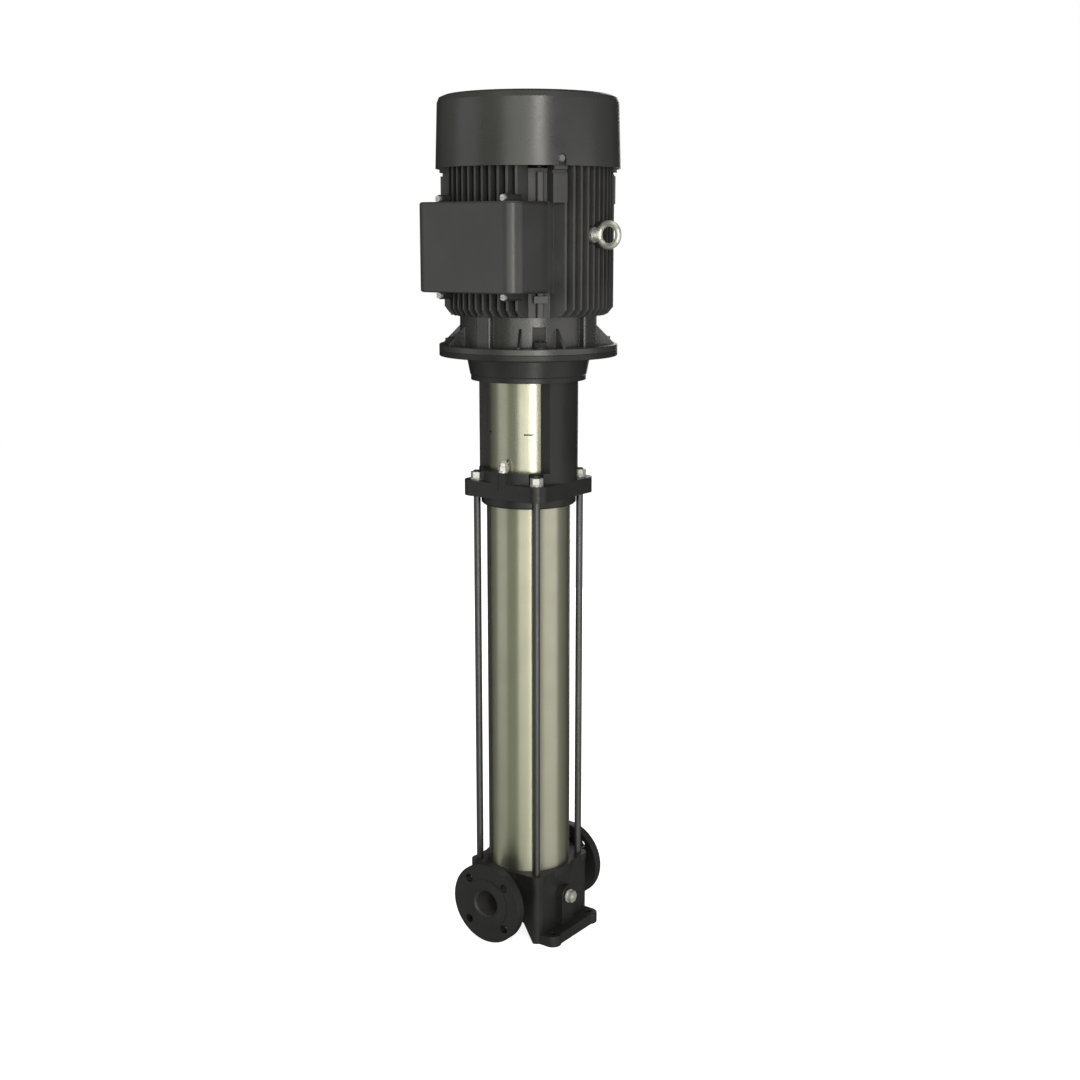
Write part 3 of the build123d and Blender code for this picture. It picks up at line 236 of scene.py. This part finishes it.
finish = {
    "base_casting": cast_paint("paint_on_iron", (0.0105, 0.0105, 0.0106), (0.0180, 0.0180, 0.0175), 0.45, 0.24, (0.050, 0.049, 0.046), specular=0.42),
    "stool_casting": cast_paint("paint_on_stool", (0.0100, 0.0101, 0.0098), (0.0165, 0.0165, 0.0158), 0.36, 0.22, (0.065, 0.064, 0.060), specular=0.42),
    # motor_casting and shield_casting are lit and shaded copies of one motor paint: the frame's is lighter as painted
    # light in the fin gaps, the drive-end shield's darker and glossier as painted shade
    "motor_casting": cast_paint("motor_paint_lit_copy", (0.0350, 0.0350, 0.0338), (0.0560, 0.0560, 0.0525), 0.47, 0.26, (0.110, 0.109, 0.100), specular=0.5),
    "shield_casting": cast_paint("motor_paint_shaded_copy", (0.0120, 0.0120, 0.0115), (0.0200, 0.0200, 0.0189), 0.30, 0.34, (0.120, 0.118, 0.108), specular=1.0),
    "terminal_housing": smooth_paint("paint_on_box", (0.0290, 0.0290, 0.0284), (0.0385, 0.0385, 0.0370), 0.33, 0.10, 0.62),
    "fan_cover_sheet": smooth_paint("paint_on_cover", (0.0243, 0.0243, 0.0232), (0.0320, 0.0320, 0.0298), 0.28, 0.08, 0.8, bevel=False),
    "sleeve_steel": brushed("brushed_sleeve", (0.565, 0.560, 0.445), (0.595, 0.590, 0.474), 0.34, 700.0, (0.02, 0.02, 1.0), aniso=0.9, bump_by=0.02, deep=0.000003),
    "guard_steel": brushed("brushed_guard", (0.440, 0.437, 0.345), (0.510, 0.506, 0.410), 0.26, 800.0, (1.0, 1.0, 0.02), bump_by=0.15),
    "rod_steel": brushed("drawn_bar", (0.110, 0.110, 0.113), (0.150, 0.150, 0.153), 0.42, 1100.0, (1.0, 1.0, 0.02)),
    "dark_steel": brushed("blackened_bolts", (0.030, 0.030, 0.031), (0.050, 0.050, 0.051), 0.44, 900.0, (1.0, 1.0, 0.05), metallic=0.6),
    "bright_steel": turned_metal("bright_fasteners", (0.640, 0.634, 0.595), 0.27, metallic=0.6),
    "eye_steel": turned_metal("plated_eye_bolts", (0.780, 0.772, 0.700), 0.27, metallic=0.75),
    "stack_steel": brushed("pressed_stack", (0.520, 0.515, 0.470), (0.600, 0.595, 0.550), 0.30, 700.0, (0.03, 0.03, 1.0)),
    "shaft_steel": brushed("ground_shaft", (0.600, 0.590, 0.550), (0.680, 0.670, 0.630), 0.18, 1500.0, (0.02, 0.02, 1.0)),
    "coupling_iron": cast_paint("bare_coupling", (0.070, 0.066, 0.060), (0.110, 0.104, 0.094), 0.50, 0.30, (0.20, 0.19, 0.17)),
    "core_steel": brushed("stacked_core", (0.170, 0.165, 0.155), (0.240, 0.235, 0.220), 0.42, 1800.0, (0.01, 0.01, 1.0)),
    "winding_copper": turned_metal("lacquered_copper", (0.560, 0.210, 0.085), 0.34, 240.0, 1.0, (0.20, 0.07, 0.03)),
    "fan_plastic": moulded("black_plastic", (0.014, 0.014, 0.014), (0.020, 0.020, 0.019), 0.42),
    "seal_rubber": moulded("black_rubber", (0.010, 0.010, 0.010), (0.015, 0.015, 0.015), 0.62, 380.0, 0.3),
    "seal_carbide": turned_metal("lapped_carbide", (0.065, 0.067, 0.070), 0.16, 600.0, 0.25, (0.04, 0.04, 0.045)),
    "stud_brass": turned_metal("drawn_brass", (0.640, 0.450, 0.170), 0.24, 420.0, 1.0, (0.25, 0.15, 0.05)),
}

for name, obj in nodes.items():
    m = finish[slot_of[name]]
    obj.data.materials.clear()
    obj.data.materials.append(m)
    for poly in obj.data.polygons:
        poly.material_index = 0


# the cover screws have brighter heads; the dents round them take the dark iron paint as painted shade
heads = turned_metal("cover_screw_heads", (0.190, 0.188, 0.180), 0.33, metallic=0.5)
nodes["fan_cover_screws"].data.materials[0] = heads
cover = nodes["fan_cover"].data
cover.materials.append(finish["base_casting"])
for poly in cover.polygons:
    c = poly.center
    off_y = abs(math.degrees(math.atan2(abs(c.x), abs(c.y))) - 33.0)
    corners = [cover.vertices[i].co for i in poly.vertices]
    # painted shade: dent faces near the screw lugs switch to the dark iron paint
    if max(v.z for v in corners) < 1.582 and min(math.hypot(v.x, v.y) for v in corners) < 0.1752 and off_y < 7.0:
        poly.material_index = 1

# painted light: the port bores get a paler paint that lifts them where they would render near black
port_painted_light = cast_paint("port_painted_light_paint", (0.042, 0.041, 0.038), (0.064, 0.062, 0.058), 0.55, 0.30, (0.12, 0.115, 0.105))
base = nodes["pump_base"].data
base.materials.append(port_painted_light)
for poly in base.polygons:
    c = poly.center
    if abs(c.x) > 0.060 and math.hypot(c.y, c.z - 0.090) < 0.0278:
        poly.material_index = 1

# painted shade: the spanner recesses in the drive-end neck take the dark iron paint
shield = nodes["drive_end_shield"].data
shield.materials.append(finish["base_casting"])
for poly in shield.polygons:
    c = poly.center
    r = math.hypot(c.x, c.y)
    from_diagonal = abs(math.degrees(math.atan2(c.y, c.x)) % 90.0 - 45.0)
    if 0.1245 < r < 0.1337 and 1.2190 < c.z < 1.2569 and from_diagonal < 6.0:
        poly.material_index = 1


# ------------------------------------------------------------------ mesh helpers
def make_piece(name, verts, faces, body, slot, smooth=True, angle=35.0):
    me = bpy.data.meshes.new(name)
    me.from_pydata([tuple(v) for v in verts], [], [tuple(f) for f in faces])
    bm = bmesh.new()
    bm.from_mesh(me)
    bmesh.ops.remove_doubles(bm, verts=bm.verts, dist=1e-6)
    bmesh.ops.recalc_face_normals(bm, faces=bm.faces)
    limit = math.radians(angle)
    for f in bm.faces:
        f.smooth = smooth
    for e in bm.edges:
        e.smooth = not (len(e.link_faces) == 2 and e.calc_face_angle(0.0) > limit)
    bm.to_mesh(me)
    bm.free()
    me.materials.append(finish[slot])
    obj = bpy.data.objects.new(name, me)
    bpy.context.scene.collection.objects.link(obj)
    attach(obj, body)
    return obj


def thread(verts, faces, origin, axis, r_root, r_crest, pitch, z0, z1, steps=20):
    """One V thread round a screw: a helical ridge that stands on the bar from z0 to z1 along its axis."""
    axis = Vector(axis).normalized()
    u = axis.orthogonal().normalized()
    v = axis.cross(u)
    origin = Vector(origin)
    first = len(verts)
    count = int((z1 - z0) / pitch * steps)
    for i in range(count + 1):
        a = 2 * math.pi * i / steps
        z = z0 + pitch * i / steps
        fade = min(1.0, i / steps, (count - i) / steps)
        for r, dz in ((r_root, -0.46 * pitch), (r_root + (r_crest - r_root) * fade, -0.06 * pitch),
                      (r_root + (r_crest - r_root) * fade, 0.06 * pitch), (r_root, 0.46 * pitch)):
            zz = min(max(z + dz * 0.98, z0), z1)
            verts.append(origin + axis * zz + (u * math.cos(a) + v * math.sin(a)) * r)
    for i in range(count):
        a0, b0 = first + 4 * i, first + 4 * (i + 1)
        for k in range(3):
            faces.append((a0 + k, b0 + k, b0 + k + 1, a0 + k + 1))
        faces.append((a0 + 3, b0 + 3, b0, a0))
    faces.append(tuple(first + k for k in (3, 2, 1, 0)))
    last = first + 4 * count
    faces.append(tuple(last + k for k in (0, 1, 2, 3)))


# ------------------------------------------------------------------ threads on the ends of the studs and rods
verts, faces = [], []
for quarter in range(4):
    a = math.radians(45.0 + 90.0 * quarter)
    thread(verts, faces, (0.150 * math.cos(a), 0.150 * math.sin(a), 0.0), (0, 0, 1), 0.0079, 0.00830, 0.0010, 1.23055, 1.23225)
make_piece("flange_stud_threads", verts, faces, "root", "dark_steel")
verts, faces = [], []
for sx in (-1, 1):
    for sy in (-1, 1):
        thread(verts, faces, (0.0735 * sx, 0.0735 * sy, 0.0), (0, 0, 1), 0.0069, 0.00735, 0.0010, 0.96605, 0.96860)
make_piece("tie_rod_threads", verts, faces, "root", "rod_steel")

# ------------------------------------------------------------------ camera, as in the photograph
view_angle = math.radians(-54.0)
pitch = math.radians(11.6)
towards = Vector((-math.cos(math.radians(36.0)), -math.sin(math.radians(36.0)), 0.0))   # from the shaft axis to the camera
right = Vector((-towards.y, towards.x, 0.0))
camera_data = bpy.data.cameras.new("camera")
camera_data.sensor_width = 36.0
camera_data.lens = 36.0 * 1489.0 / 1080.0
camera_data.clip_start = 0.05
camera_data.clip_end = 60.0
camera = bpy.data.objects.new("camera", camera_data)
camera.location = (-2.371, -1.7508, 1.428)
camera.rotation_euler = (math.pi / 2 - pitch, 0.0, view_angle)
bpy.context.scene.collection.objects.link(camera)
bpy.context.scene.camera = camera

# ------------------------------------------------------------------ floor and light
floor_mesh = bpy.data.meshes.new("floor")
rings = [0.0, 0.3, 0.6, 1.0, 1.6, 2.6, 4.5, 8.0]
verts, faces = [(0.0, 0.0, 0.0)], []
segments = 96
for r in rings[1:]:
    for i in range(segments):
        a = 2 * math.pi * i / segments
        verts.append((r * math.cos(a), r * math.sin(a), 0.0))
for i in range(segments):
    faces.append((0, 1 + i, 1 + (i + 1) % segments))
for k in range(len(rings) - 2):
    for i in range(segments):
        a, b = 1 + k * segments, 1 + (k + 1) * segments
        j = (i + 1) % segments
        faces.append((a + i, b + i, b + j, a + j))
floor_mesh.from_pydata(verts, [], faces)
floor = bpy.data.objects.new("floor", floor_mesh)
floor.location.z = -0.0005
bpy.context.scene.collection.objects.link(floor)
floor_m, floor_nt, floor_bsdf = new_material("pale_floor", Roughness=0.85, Specular_IOR_Level=0.1)
floor_bsdf.inputs["Emission Color"].default_value = (1.0, 1.0, 1.0, 1.0)
floor_bsdf.inputs["Emission Strength"].default_value = 0.84
feed(floor_nt, floor_bsdf, "Base Color", blend_colour(floor_nt, noise(floor_nt, 1.5, 2.0, 0.5), (0.86, 0.86, 0.86), (0.88, 0.88, 0.88)))
floor_mesh.materials.append(floor_m)
floor.visible_glossy = False
floor.visible_diffuse = False


def panel(name, turn, distance, wide, tall, height, radiance, colour=(1, 1, 1), aim=None):
    """A soft box at a turn (degrees, right of the camera) about the shaft axis, facing the axis."""
    t = math.radians(turn)
    where = (towards * math.cos(t) + right * math.sin(t)) * distance
    data = bpy.data.lights.new(name, "AREA")
    data.shape = "RECTANGLE"
    data.size, data.size_y = wide, tall
    data.energy = 4.0 * radiance * wide * tall
    data.color = colour
    obj = bpy.data.objects.new(name, data)
    obj.location = (where.x, where.y, height)
    look = Vector((0.0, 0.0, height if aim is None else aim)) - obj.location
    obj.rotation_euler = look.to_track_quat("-Z", "Y").to_euler()
    obj.visible_camera = False
    bpy.context.scene.collection.objects.link(obj)
    return obj


panel("key_strip", 14.0, 2.5, 0.46, 3.4, 1.1, 4.6, (1.0, 0.985, 0.94))
panel("front_box", -10.0, 3.4, 2.2, 3.2, 1.2, 0.92, (1.0, 0.995, 0.955))
panel("right_box", 62.0, 2.7, 2.3, 2.5, 0.55, 0.50, (1.0, 0.99, 0.96))
panel("left_box", -78.0, 2.6, 1.6, 3.2, 1.2, 0.34, (0.99, 0.99, 0.98))
panel("back_box", 168.0, 3.0, 1.0, 3.2, 1.1, 1.2)
top = panel("top_box", 0.0, 0.05, 2.6, 2.6, 3.6, 0.6, aim=0.0)

world = bpy.data.worlds.new("studio")
bpy.context.scene.world = world
world.use_nodes = True
wt = world.node_tree
for n in list(wt.nodes):
    wt.nodes.remove(n)
out = put(wt, "ShaderNodeOutputWorld")
tc = put(wt, "ShaderNodeTexCoord")
dot_c = put(wt, "ShaderNodeVectorMath", operation="DOT_PRODUCT")
dot_r = put(wt, "ShaderNodeVectorMath", operation="DOT_PRODUCT")
dot_c.inputs[1].default_value = towards
dot_r.inputs[1].default_value = right
wt.links.new(tc.outputs["Generated"], dot_c.inputs[0])
wt.links.new(tc.outputs["Generated"], dot_r.inputs[0])
turn = maths(wt, "ARCTAN2", dot_r.outputs["Value"], dot_c.outputs["Value"])
turn01 = spread(wt, turn, -math.pi, math.pi, 0.0, 1.0)
ramp = put(wt, "ShaderNodeValToRGB")
ramp.color_ramp.interpolation = "EASE"
stops = [(-180, 0.03, 0.03, 0.028), (-150, 0.035, 0.035, 0.031), (-128, 0.13, 0.13, 0.117), (-110, 0.23, 0.23, 0.205), (-98, 0.25, 0.25, 0.22),
         (-66, 0.28, 0.28, 0.25), (-52, 0.30, 0.31, 0.26), (-12, 0.34, 0.35, 0.285), (14, 0.52, 0.515, 0.45),
         (34, 0.35, 0.35, 0.33), (60, 0.42, 0.42, 0.40), (84, 0.38, 0.375, 0.35), (100, 0.28, 0.28, 0.258),
         (118, 0.19, 0.19, 0.172), (140, 0.07, 0.07, 0.063), (160, 0.03, 0.03, 0.028)]
cr = ramp.color_ramp
while len(cr.elements) > 1:
    cr.elements.remove(cr.elements[-1])
for i, (deg, r, g, b) in enumerate(stops):
    e = cr.elements[0] if i == 0 else cr.elements.new((deg + 180) / 360)
    e.position = (deg + 180) / 360
    e.color = (r, g, b, 1.0)
wt.links.new(turn01, ramp.inputs["Fac"])
glossy = put(wt, "ShaderNodeBackground")
glossy.inputs["Strength"].default_value = 1.0
wt.links.new(ramp.outputs["Color"], glossy.inputs["Color"])
soft = put(wt, "ShaderNodeBackground")
fall = put(wt, "ShaderNodeValToRGB")
fall.color_ramp.interpolation = "EASE"
levels = [(-180, 0.16), (-130, 0.24), (-90, 0.46), (-45, 0.60), (0, 0.70), (45, 0.58), (90, 0.22), (130, 0.14), (180, 0.16)]
fr = fall.color_ramp
while len(fr.elements) > 1:
    fr.elements.remove(fr.elements[-1])
for i, (deg, v) in enumerate(levels):
    e = fr.elements[0] if i == 0 else fr.elements.new((deg + 180) / 360)
    e.position = (deg + 180) / 360
    e.color = (v * 0.98, v * 0.985, v, 1.0)
wt.links.new(turn01, fall.inputs["Fac"])
wt.links.new(fall.outputs["Color"], soft.inputs["Color"])
height = put(wt, "ShaderNodeSeparateXYZ")
wt.links.new(tc.outputs["Generated"], height.inputs[0])
wt.links.new(spread(wt, height.outputs["Z"], -1.0, 1.0, 1.8, 0.7), soft.inputs["Strength"])
seen = put(wt, "ShaderNodeBackground")
seen.inputs["Color"].default_value = (1.0, 1.0, 1.0, 1.0)
seen.inputs["Strength"].default_value = 1.0
path = put(wt, "ShaderNodeLightPath")
mix1 = put(wt, "ShaderNodeMixShader")
mix2 = put(wt, "ShaderNodeMixShader")
wt.links.new(path.outputs["Is Glossy Ray"], mix1.inputs["Fac"])
wt.links.new(soft.outputs[0], mix1.inputs[1])
wt.links.new(glossy.outputs[0], mix1.inputs[2])
wt.links.new(path.outputs["Is Camera Ray"], mix2.inputs["Fac"])
wt.links.new(mix1.outputs[0], mix2.inputs[1])
wt.links.new(seen.outputs[0], mix2.inputs[2])
wt.links.new(mix2.outputs[0], out.inputs["Surface"])

settings = bpy.context.scene.view_settings
settings.view_transform = "Standard"
settings.look = "None"
settings.exposure = 0.0
settings.gamma = 1.0
